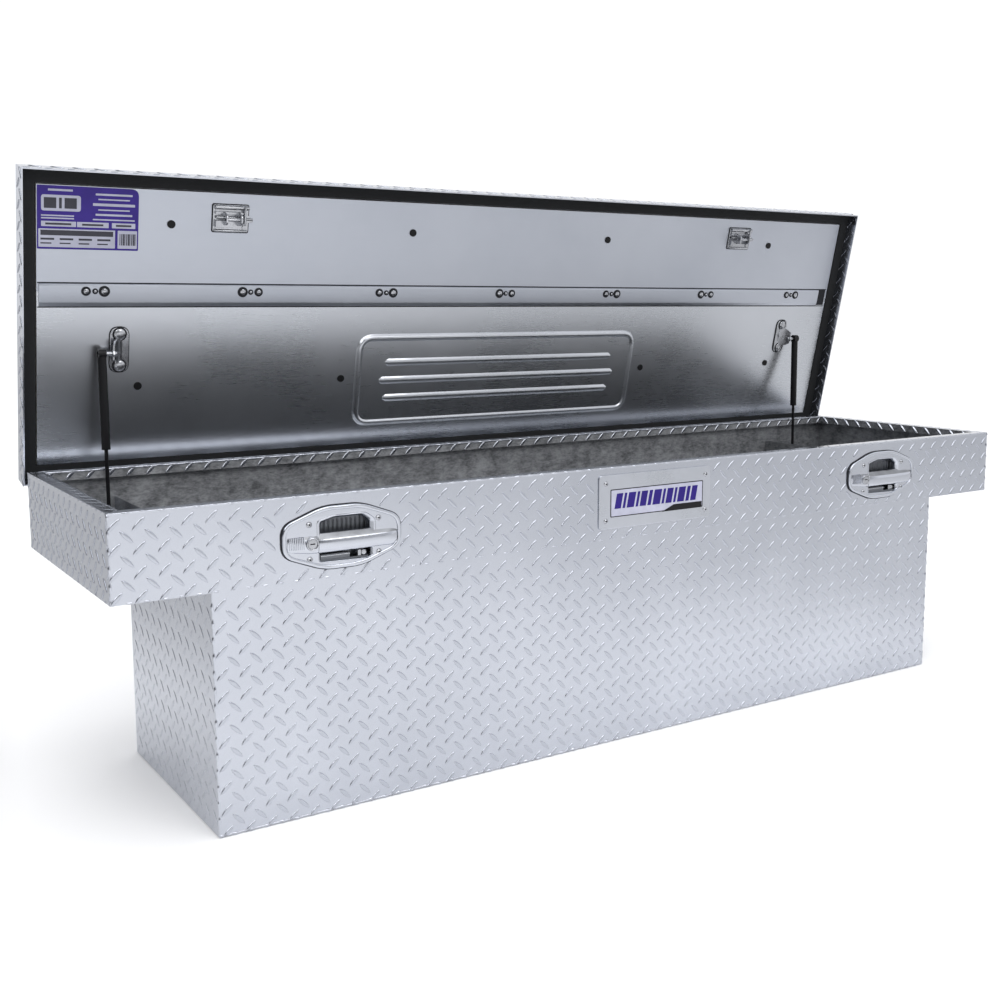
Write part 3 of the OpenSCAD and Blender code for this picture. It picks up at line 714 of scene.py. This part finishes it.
def pan_screw(bm, matrix, radius):
    """A screw head: rounded rim, shallow groove, dome and a socket with a black disc at its floor as painted
    shade.
    """
    r = radius * MM
    add_lathe(bm, [(0, -0.2 * MM), (r, -0.2 * MM), (r, 0.5 * MM), (r * 0.93, 0.9 * MM), (r * 0.82, 1.0 * MM),
                   (r * 0.76, 0.7 * MM), (r * 0.70, 0.8 * MM), (r * 0.55, 1.7 * MM), (r * 0.34, 2.05 * MM),
                   (r * 0.32, 1.2 * MM), (0, 1.2 * MM)], matrix, 28)
    # A black disc at the socket's floor: painted shade.
    add_lathe(bm, [(0, 1.22 * MM), (r * 0.31, 1.22 * MM), (r * 0.30, 1.35 * MM), (0, 1.3 * MM)],
              matrix, 20, 1)


# Turns a lathe's axis from pointing out of the front to pointing up the handle
UP_FROM_BACK = Matrix.Rotation(math.radians(-90), 4, "X")


def make_handle(side):
    """One latch handle: bezel, raised lip, window walls, rib, pull bar and lock; its screws are made after it
    by the caller.
    """
    name = "left" if side < 0 else "right"
    handle = place_front(side * HANDLE_X, FRONT_Y, HANDLE_Z)
    bezel = plate(f"bezel_{name}", [OCTAGON, POCKET, SLOT], 0, 3.2 * MM, handle, "tub", CHROME, 0.9 * MM)
    lip = plate(f"bezel_lip_{name}", [OCTAGON, scaled(OCTAGON, 0.935, 0.865)], 0, 5.2 * MM, handle, "tub",
                CHROME, 1.9 * MM)
    bm = bmesh.new()
    surround(bm, handle, POCKET, 12, 0.82, (6, 4))
    surround(bm, handle, SLOT, 10, 0.92, (4, -27))
    walls = finish_piece(bm, f"window_walls_{name}", "tub", CHROME, limit=60)
    bm = bmesh.new()
    # Faces from index 7 on, the section's upper side, take the darker metal as painted shade.
    loft(bm, [bar_ring(handle, *station) for station in
              ((-84.5, -15.5, 10.5, 3.6, 0.94), (-83.5, -16, 11, 4.4), (-74, -17.5, 10, 5.0),
               (-62, -19, 8.5, 5.8), (-50, -20.5, 7.2, 6.6), (-40, -20.8, 7, 7.1),
               (-38.6, -20.6, 6.8, 6.6, 0.97))], top=7)
    for k in range(9):
        add_box(bm, in_mm(-81.4 + 2.6 * k, -12.5, 2), in_mm(-80.2 + 2.6 * k, 4.5, 5.6 + 0.12 * k), handle)
    rib = finish_piece(bm, f"rib_{name}", "tub", [CHROME, BAR_TOP_PAINTED_SHADE], limit=50)
    # A black ring round the bezel: partly its gasket, partly a painted shadow line between bezel and band.
    gasket_and_shadow = plate(f"bezel_gasket_and_shadow_{name}", [scaled(OCTAGON, 1.013, 1.026), scaled(OCTAGON, 0.97, 0.94)],
                   0, 1.9 * MM, handle, "tub", PAINTED_SHADE)
    bm = bmesh.new()
    add_box(bm, in_mm(-33, -34, -9), in_mm(12, -24.5, -1.2), handle, 1)
    add_box(bm, in_mm(-33, -27.5, -1.2), in_mm(12, -26, -0.4), handle)
    add_lathe(bm, mm([(0, -12), (4.2, -12), (4.2, -1.2), (3.2, -0.4), (0, -0.2)]),
              handle @ Matrix.Translation(in_mm(34, -27.5, 0)), 24)
    add_box(bm, in_mm(24, -31.5, -9), in_mm(29, -23, 0.2), handle)
    works = finish_piece(bm, f"latch_works_{name}", "tub", [ZINC, CUP], 0.5 * MM)
    bm = bmesh.new()
    for k in range(12):
        x = -34 + k * 7
        add_lathe(bm, mm([(0, 0), (0.9, 0), (0.9, 18), (0, 18)]),
                  handle @ Matrix.Translation(in_mm(x, 4, -13.2)) @ UP_FROM_BACK, 10)
    ribs = finish_piece(bm, f"pocket_ribs_{name}", "tub", CUP)
    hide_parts(f"handle_bezel_{name}")

    bm = bmesh.new()
    # Faces from index 7 on, the section's upper side, take the darker metal as painted shade.
    loft(bm, [bar_ring(handle, *station) for station in
              ((-38.0, -20.6, 6.8, 6.6, 0.97), (-37, -20.8, 7, 7.1), (-10, -21, 7, 7.4), (30, -21, 7, 7.4),
               (48, -20.4, 7, 7.2), (64, -20.4, 7.1, 6.9), (74, -20.6, 7.4, 6.3), (84, -20.0, 7.8, 4.8),
               (85.2, -19.6, 7.2, 4.0, 0.96))], top=7)
    bar = finish_piece(bm, f"pull_bar_{name}", f"paddle_{name}", [CHROME, BAR_TOP_PAINTED_SHADE], limit=50)
    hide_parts(f"paddle_{name}")

    lock_at = handle @ Matrix.Translation(in_mm(-48, -6, 0))
    bm = bmesh.new()
    add_lathe(bm, mm([(0, 2), (9.2, 2), (9.6, 4), (9.6, 7.2), (9.1, 8.1), (8.3, 8.4), (7.5, 8.1), (7.0, 7.0),
                      (6.6, 7.0), (6.4, 7.5), (0, 7.7)]), lock_at, 40)
    # The keyway is a black bar on the lock's face: painted shade in place of an opening.
    add_box(bm, in_mm(-3.6, -0.8, 7.5), in_mm(3.6, 0.8, 7.95), lock_at, 1)
    lock = finish_piece(bm, f"lock_face_{name}", f"lock_{name}", [ZINC, PAINTED_SHADE], limit=40)
    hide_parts(f"lock_{name}")
    return handle


bm = bmesh.new()
for side in (-1, 1):
    handle = make_handle(side)
    for x in (-51, 56):
        for z in (-28.5, 21):
            pan_screw(bm, handle @ Matrix.Translation(in_mm(x, z, 3.0)), 4.5)
screws = finish_piece(bm, "bezel_screws", "tub", [ZINC, PAINTED_SHADE], limit=40)
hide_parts("handle_screws")

# ---------------------------------------------------------------- badge

badge_at = place_front((badge_low.x + badge_high.x) / 2, FRONT_Y, (badge_low.z + badge_high.z) / 2)
half_x = (badge_high.x - badge_low.x) / 2
half_z = (badge_high.z - badge_low.z) / 2
backing = plate("badge_backing", [box_outline(-half_x, half_x, -half_z, half_z, 7 * MM)], 0, 2.4 * MM,
                badge_at, "tub", BRUSHED, 0.7 * MM)
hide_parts("badge_plate")
edge = plate("badge_outline", [box_outline(-0.0965, 0.1025, -0.0255, 0.0205, 2 * MM),
                               box_outline(-0.0950, 0.1010, -0.0240, 0.0190, 1.4 * MM)],
             2.2 * MM, 2.75 * MM, badge_at, "tub", BLACK, 0.1 * MM)
face = plate("badge_face", [box_outline(-0.0955, 0.1015, -0.0245, 0.0195, 2 * MM)], 2.2 * MM, 2.6 * MM,
             badge_at, "tub", PRINT_WHITE)
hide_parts("badge_panel")
bm = bmesh.new()
slant, low, high = 0.20, -12, 13
left = -86.0
for width in (13, 5, 15, 5, 13, 7, 16, 5, 13, 5, 15, 7, 12):
    corners = mm([(left + slant * low, low), (left + width + slant * low, low),
                  (left + width + slant * high, high), (left + slant * high, high)])
    add_prism(bm, corners, 2.5 * MM, 2.85 * MM, badge_at)
    left += width + 3.6
bars = finish_piece(bm, "badge_bars", "tub", INK_BLUE, smooth=False)
bm = bmesh.new()
add_prism(bm, mm([(12, -26), (100, -26), (100, -15.5), (38, -15.5)]), 2.5 * MM, 2.9 * MM, badge_at)
wedge = finish_piece(bm, "badge_wedge", "tub", BLACK, smooth=False)
bm = bmesh.new()
for x in (-106, 108):
    for z in (-30.5, 30.5):
        pan_screw(bm, badge_at @ Matrix.Translation(in_mm(x, z, 2.3)), 4.2)
screws = finish_piece(bm, "badge_rivets", "tub", [ZINC, PAINTED_SHADE], limit=40)
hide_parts("badge_screws")

# ---------------------------------------------------------------- inside of the lid


def on_liner(x, t, rise=0.0):
    """Local X along the lid, local Y towards its front edge, local Z out of the liner."""
    return LID_POSE @ Matrix.Translation((x, -t, RECESS - rise)) @ Matrix.Rotation(math.radians(180), 4, "X")


liner = on_liner(0, 0)


def strip(bm, x0, x1, t0, t1, low, high):
    """A thin block on the liner, in millimetres."""
    add_box(bm, in_mm(x0, t0, low), in_mm(x1, t1, high), liner)


LINER_MM = LINER_HALF / MM
bm = bmesh.new()
profile = [(284.5, -0.2), (285.2, 0.5), (291, 2.7), (293, 3.0), (317.5, 3.0), (320.2, 2.3),
           (321, 0.8), (321, -0.2)]
loft(bm, [[liner @ Vector((x * MM, t * MM, n * MM)) for t, n in profile] for x in (-LINER_MM + 3, 838)])
channel = finish_piece(bm, "stiffener_channel", "lid", LINER_UP, limit=12)
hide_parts("lid_stiffener")
# Black strips along the channel's edges and at its right end: painted shade of the gaps between channel and
# liner.
bm = bmesh.new()
strip(bm, -LINER_MM + 1, 864, 321.0, 323.0, -0.2, 0.35)
strip(bm, 838.2, 862, 286, 321.0, -0.2, 0.35)
strip(bm, -LINER_MM + 1, 864, 282.8, 284.6, -0.2, 0.25)
gap = finish_piece(bm, "stiffener_gap_shade", "lid", PAINTED_SHADE, smooth=False)

bm = bmesh.new()
rivet_t, rivet_pitch, rivet_shift = 309.5, 255, -15
for i in range(-3, 4):
    x = i * rivet_pitch + rivet_shift
    turn = -1 if i % 2 == 0 else 1
    for dx, ring, dome in ((-14 * turn, 7.4, 4.2), (0, 4.6, 2.6), (14 * turn, 8.8, 5.2)):
        at = liner @ Matrix.Translation(in_mm(x + dx, rivet_t, 3.0))
        # The black ring round each dome is a painted shadow.
        add_lathe(bm, mm([(0, -0.3), (ring, -0.3), (ring, 0.7), (ring - 0.8, 1.1), (dome + 0.6, 1.1),
                          (dome, 0.9), (0, 0.9)]), at, 28, 1)
        add_lathe(bm, mm([(0, 0.8), (dome, 0.8), (dome * 0.92, 1.9), (dome * 0.6, 2.7), (0, 3.0)]), at, 24)
rivets = finish_piece(bm, "rivet_clusters", "lid", [ZINC, PAINTED_SHADE], limit=40)
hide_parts("lid_rivets")


def bead(bm, path, width, height, closed=True):
    """A rounded raised bead along a path of (x, t) points on the liner, in millimetres."""
    count = len(path)
    section = [(-1.0, -0.1), (-0.8, 0.25), (-0.45, 0.75), (0, 1.0), (0.45, 0.75), (0.8, 0.25), (1.0, -0.1)]
    rows = []
    for i, point in enumerate(path):
        here = Vector(point)
        back = Vector(path[i - 1]) if closed or i else here
        ahead = Vector(path[(i + 1) % count]) if closed or i < count - 1 else here
        along = (ahead - back).normalized()
        side = Vector((-along.y, along.x))
        taper = 1.0 if closed or 0 < i < count - 1 else 0.35
        spots = [(*(here + side * w * width / 2 * taper), h * height * taper) for w, h in section]
        rows.append([bm.verts.new(liner @ (Vector(spot) * MM)) for spot in spots])
    for i in range(count if closed else count - 1):
        a, b = rows[i], rows[(i + 1) % count]
        for k in range(len(section) - 1):
            bm.faces.new((a[k], a[k + 1], b[k + 1], b[k]))


bm = bmesh.new()
frame_path = [(p.x, p.y) for p in box_outline(-312, 312, 66, 226, 26, 8)]
bead(bm, frame_path, 15, 5)
for t, reach in ((112, 262), (146, 272), (180, 262)):
    path = [(-reach, t)] + [(-reach + 8 + k * (2 * reach - 16) / 10, t) for k in range(11)] + [(reach, t)]
    bead(bm, path, 20, 5, closed=False)
beads = finish_piece(bm, "liner_beads", "lid", LINER_LOW, limit=60)

# ---------------------------------------------------------------- label on the liner

label_at = on_liner(-0.790, 0.422)
film_outline = rounded(mm([(-76, -48), (76, -48), (76, 48), (-76, 48)]), in_mm(1, 2, 12, 1), 6)
film = plate("label_film_piece", [film_outline], 0, 0.35 * MM, label_at, "lid", PRINT_BLUE)
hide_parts("lid_label")
bm = bmesh.new()
white = [(-70, -12, 10, 34, 4), (-74, 40, -45, -17, 1), (44, 74, -45, -17, 1), (-70, -22, 2, 4, 0.5),
         (-70, -22, -2, 0, 0.5), (10, 66, 36, 39, 0.5), (14, 62, 29, 31, 0.5),
         (6, 70, 20, 24, 0.5), (14, 62, 13, 15, 0.5), (10, 66, 5, 8, 0.5), (6, 70, -2, 0, 0.5),
         (-70, -19, -13.5, -5.5, 0.5), (-17.5, 30, -13.5, -5.5, 0.5), (35, 71, -13.5, -5.5, 0.5),
         (-60, -24, 40, 43, 0.5)]
for x0, x1, y0, y1, radius in white:
    outline = box_outline(x0 * MM, x1 * MM, y0 * MM, y1 * MM, radius * MM, 3)
    add_prism(bm, outline, 0.3 * MM, 0.45 * MM, label_at)
blocks = finish_piece(bm, "label_blocks", "lid", PRINT_WHITE, smooth=False)
bm = bmesh.new()
grey = [(-66, -48, 14, 30), (-44, -40, 14, 30), (-36, -18, 14, 30), (-71, 37, -27, -19)]
grey += [(-64, -26, -11, -8), (-10, 22, -11, -8), (41, 65, -11, -8)]
grey += [(-71 + 28 * k, -51 + 28 * k, -34, -31) for k in range(4)]
grey += [(-71 + 28 * k, -55 + 28 * k, -40, -38) for k in range(4)]
grey += [(47 + 2.6 * k, 48.2 + 2.6 * k + (k % 3) * 0.5, -40, -22) for k in range(10)]
for x0, x1, y0, y1 in grey:
    add_box(bm, in_mm(x0, y0, 0.4), in_mm(x1, y1, 0.55), label_at)
marks = finish_piece(bm, "label_marks", "lid", PRINT_GREY, smooth=False)

# ---------------------------------------------------------------- strikers and strut mounts


def tube(bm, start, end, radius, matrix):
    """A round bar between two points, with softly rounded ends."""
    start, end = Vector(start), Vector(end)
    along = end - start
    turn = along.to_track_quat("Z", "Y").to_matrix().to_4x4()
    r, length, soft = radius, along.length, radius * 0.3
    add_lathe(bm, [(0, 0), (r - soft, 0), (r - soft * 0.3, soft * 0.3), (r, soft), (r, length - soft),
                   (r - soft * 0.3, length - soft * 0.3), (r - soft, length), (0, length)],
              matrix @ Matrix.Translation(start) @ turn, 20)


# Stands an outline up across the box: its X runs along Y and its Y along Z
UPRIGHT = Matrix(((0, 0, 1, 0), (1, 0, 0, 0), (0, 1, 0, 0), (0, 0, 0, 1)))


def make_striker(side):
    """Striker: plate with rolled edges, two rounded ears, the round bar and a small lever."""
    name = "left" if side < 0 else "right"
    at = on_liner(side * HANDLE_X, 0.431)
    base = plate(f"striker_base_{name}", [box_outline(-0.030, 0.030, -0.022, 0.022, 3 * MM)], 0, 2.2 * MM, at,
                 "lid", ZINC, 0.6 * MM)
    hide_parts(f"striker_{name}")
    # A black outline under the striker plate: painted shadow.
    painted_shadow = plate(f"striker_painted_shadow_{name}", [box_outline(-0.0315, 0.0315, -0.0235, 0.0235, 4 * MM)], 0, 0.8 * MM,
                at, "lid", PAINTED_SHADE)
    bm = bmesh.new()
    tube(bm, in_mm(-28, 18, 4.6), in_mm(30, 18, 4.6), 3.6 * MM, at)
    tube(bm, in_mm(-28, -20, 3.4), in_mm(28, -20, 3.4), 2.4 * MM, at)
    add_box(bm, in_mm(-27, 7, 2), in_mm(24, 11, 7), at)
    add_box(bm, in_mm(-27, -14, 2), in_mm(2, -3, 9), at)
    tube(bm, in_mm(-26, 2, 6), in_mm(36, 0, 6), 2.2 * MM, at)
    tube(bm, in_mm(22, -10, 9), in_mm(22, 20.5, 9), 2.0 * MM, at)
    ear = rounded(mm([(-12, 0), (12, 0), (8, 22), (-8, 22)]), in_mm(1, 1, 7, 7), 6)
    for x in (-14, 11):
        add_prism(bm, ear, 0, 3 * MM, at @ Matrix.Translation((x * MM, 0, 0)) @ UPRIGHT)
    tube(bm, in_mm(-14, 0, 17), in_mm(14, 0, 17), 2.6 * MM, at)
    add_prism(bm, mm([(20, -8), (38, -4), (34, 2), (22, 12)]), 3 * MM, 5 * MM, at)
    works = finish_piece(bm, f"striker_works_{name}", "lid", ZINC, 0.5 * MM)


def make_mount(side):
    """Strut bracket: long rounded foot, folded ear and the stud that carries the strut."""
    name = "left" if side < 0 else "right"
    low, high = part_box(f"strut_cylinder_{name}")
    at = on_liner((low.x + high.x) / 2 - side * 32 * MM, 0.214)
    foot = plate(f"mount_foot_{name}", [box_outline(-0.0150, 0.0150, -0.037, 0.037, 14.5 * MM, 10)],
                 0, 3.0 * MM, at, "lid", ZINC, 0.9 * MM)
    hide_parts(f"strut_mount_{name}")
    # A black outline under the foot: painted shadow.
    painted_shadow = plate(f"mount_painted_shadow_{name}", [box_outline(-0.0162, 0.0162, -0.0382, 0.0382, 15.7 * MM, 10)],
                0, 0.9 * MM, at, "lid", PAINTED_SHADE)
    bm = bmesh.new()
    rings = []
    for x, half, rise in ((-6, 19, 2.4), (-2.4, 20, 3.8), (4, 20, 8), (9.5, 17, 15.5), (12.5, 12, 21.5)):
        rings.append([at @ (Vector((side * x + dx, t, rise + dz)) * MM) for dx, t, dz in
                      ((0, -half, 0), (0, half, 0), (side * 2.4, half, -1.6), (side * 2.4, -half, -1.6))])
    loft(bm, rings)
    for t in (-26, 26):
        end = at @ Matrix.Translation(in_mm(0, t, 2.8))
        # A black disc under each screw dome: painted shadow ring.
        add_lathe(bm, mm([(0, 0), (11.6, 0), (11.6, 0.5), (0, 0.5)]), end, 32, 1)
        add_lathe(bm, mm([(0, 0.3), (9.4, 0.3), (9.0, 1.8), (6.6, 3.4), (3.0, 4.2), (0, 4.3)]), end, 32)
    tube(bm, in_mm(side * 8, -2, 18), in_mm(side * 36, -2, 18), 3.6 * MM, at)
    nut_at = (at @ Matrix.Translation(in_mm(side * 12, -2, 18))
              @ Matrix.Rotation(math.radians(side * 90), 4, "Y"))
    add_lathe(bm, mm([(0, 0), (6, 0), (6, 3), (4.6, 3.8), (0, 3.8)]), nut_at, 6)
    ear = finish_piece(bm, f"mount_ear_{name}", "lid", [ZINC, PAINTED_SHADE], 0.4 * MM)


for side in (-1, 1):
    make_striker(side)
    make_mount(side)

# ---------------------------------------------------------------- camera, light and floor

camera_data = bpy.data.cameras.new("camera")
camera_data.lens = 43.93
camera_data.sensor_width = 36.0
camera_data.shift_x = -0.03
camera_data.shift_y = -0.035
camera_data.clip_end = 60
camera = bpy.data.objects.new("camera", camera_data)
camera.location = (-1.2868, -1.7904, 0.7266)
camera.rotation_euler = Euler((math.radians(90 - 7.54), 0, math.radians(-33.72)))
bpy.context.scene.collection.objects.link(camera)
bpy.context.scene.camera = camera


def make_floor():
    """A wide pale floor that fades into the pale background, painted darker in soft zones outside the
    camera's view as painted shade for what the box reflects.
    """
    bm = bmesh.new()
    bmesh.ops.create_grid(bm, x_segments=1, y_segments=1, size=30)
    mesh = bpy.data.meshes.new("floor")
    bm.to_mesh(mesh)
    bm.free()
    floor = bpy.data.objects.new("floor", mesh)
    bpy.context.scene.collection.objects.link(floor)
    m = Material("floor_painted_shade", Roughness=0.9)
    place = m.node("ShaderNodeSeparateXYZ")
    x, y = place.outputs["X"], place.outputs["Y"]
    m.link(m.node("ShaderNodeTexCoord").outputs["Object"], place.inputs["Vector"])
    # Painted shade: the floor's colour drops to 0.56 in a soft zone left of the camera's view, to 0.71
    # towards the front right and to 0.92 near the camera, so that the box's sides reflect a darker floor.
    beside = m.add(m.add(y, 0.185, "MULTIPLY"), m.add(x, -0.959), "SUBTRACT")
    left = m.spread(m.add(beside, -1.918), 1.0, 0.56, 0.0, 0.35)
    ahead = m.add(m.add(x, 0.56, "MULTIPLY"), m.add(y, -0.83, "MULTIPLY"))
    right = m.add(m.spread(ahead, 0.0, 1.0, 0.77, 1.2), m.spread(x, 0.0, 1.0, 0.0, 1.2), "MULTIPLY")
    shade_beyond = m.spread(y, 0.92, 1.0, -1.6, -1.05)
    shade = m.add(m.add(left, m.spread(right, 1.0, 0.71), "MULTIPLY"), shade_beyond, "MULTIPLY")
    m.feed("Base Color", m.ramp(shade, [(0.0, (0.0, 0.0, 0.0)), (1.0, (0.955, 0.955, 0.96))]))
    mesh.materials.append(m.mat)
    floor.location.z = -0.0012


make_floor()


def make_light(name, place, target, size, power):
    """A soft area light that looks at a point."""
    data = bpy.data.lights.new(name, "AREA")
    data.shape = "RECTANGLE"
    data.size, data.size_y = size
    data.energy = power
    light = bpy.data.objects.new(name, data)
    light.location = place
    light.rotation_euler = (Vector(target) - Vector(place)).to_track_quat("-Z", "Y").to_euler()
    bpy.context.scene.collection.objects.link(light)


def make_sun(name, turn, angle, strength):
    """A very soft sun that lights the whole floor evenly."""
    data = bpy.data.lights.new(name, "SUN")
    data.angle = math.radians(angle)
    data.energy = strength
    light = bpy.data.objects.new(name, data)
    light.rotation_euler = Euler([math.radians(a) for a in turn])
    bpy.context.scene.collection.objects.link(light)


make_sun("overhead", (18, -14, 0), 70, 1.95)
make_light("key", (0.6, -3.6, 2.6), (0.1, -0.9, 0.0), (2.2, 1.4), 31)
make_light("fill", (-2.6, -2.6, 2.2), (-0.4, -0.2, 0.3), (1.2, 0.8), 17)

world = bpy.data.worlds.new("studio")
bpy.context.scene.world = world
world.use_nodes = True
sky = world.node_tree
direction = sky.nodes.new("ShaderNodeTexCoord")
slope = sky.nodes.new("ShaderNodeVectorMath")
slope.operation = "DOT_PRODUCT"
slope.inputs[1].default_value = (0.88, 0.47, 0.0)
sky.links.new(direction.outputs["Generated"], slope.inputs[0])
bright = sky.nodes.new("ShaderNodeValToRGB")
stops = bright.color_ramp.elements
stops[0].position = 0.0
stops[0].color = (0.095, 0.097, 0.104, 1)
stops[1].position = 1.0
stops[1].color = (1.0, 1.0, 1.0, 1)
for place, value in ((0.22, 0.175), (0.48, 0.50), (0.66, 1.0)):
    stop = stops.new(place)
    stop.color = (value, value * 1.01, value * 1.04, 1)
remap = sky.nodes.new("ShaderNodeMapRange")
remap.inputs["From Min"].default_value = -1.0
sky.links.new(slope.outputs["Value"], remap.inputs["Value"])
sky.links.new(remap.outputs["Result"], bright.inputs["Fac"])
background = sky.nodes["Background"]
sky.links.new(bright.outputs["Color"], background.inputs["Color"])
background.inputs["Strength"].default_value = 1.05
bpy.context.scene.view_settings.view_transform = "Standard"

# ---------------------------------------------------------------- CAD nodes that stay, with their finish

for name in ("tub_front_wall", "tub_rear_wall", "tub_left_wall", "tub_right_wall", "tub_floor", "front_band",
             "rear_band", "end_plate_left", "end_plate_right"):
    dress(name, TREAD_WALL)
for name in ("saddle_floor_left", "saddle_floor_right", "rear_ledge"):
    dress(name, TREAD_INSIDE)
for name in ("rim_front", "rim_rear", "rim_left", "rim_right"):
    dress(name, TREAD_WALL, 0.8 * MM)
dress("lid_shell", TREAD, 0.8 * MM)
dress("lid_core", CORE)
dress("lid_liner_upper", LINER_UP)
dress("lid_liner_lower", LINER_LOW, 1.2 * MM)
dress("lid_plugs", PLUG, 0.6 * MM)
dress("lid_seal", SEAL, 1.5 * MM)
dress("lid_screws", ZINC, 0.6 * MM)
for side in ("left", "right"):
    dress(f"strut_foot_{side}", ZINC, 0.5 * MM)
    dress(f"strut_cylinder_{side}", BLACK, 0.8 * MM)
    dress(f"strut_rod_{side}", BLACK)
    dress(f"latch_housing_{side}", ZINC, 0.4 * MM)
    dress(f"latch_hook_{side}", ZINC, 0.4 * MM)
    dress(f"handle_cup_{side}", CUP, 0.6 * MM)
for name in ("hinge_leaf_tub", "hinge_leaf_lid"):
    dress(name, HINGE_METAL)
for name in ("hinge_pin", "hinge_rivets_tub", "hinge_rivets_lid"):
    dress(name, ZINC)
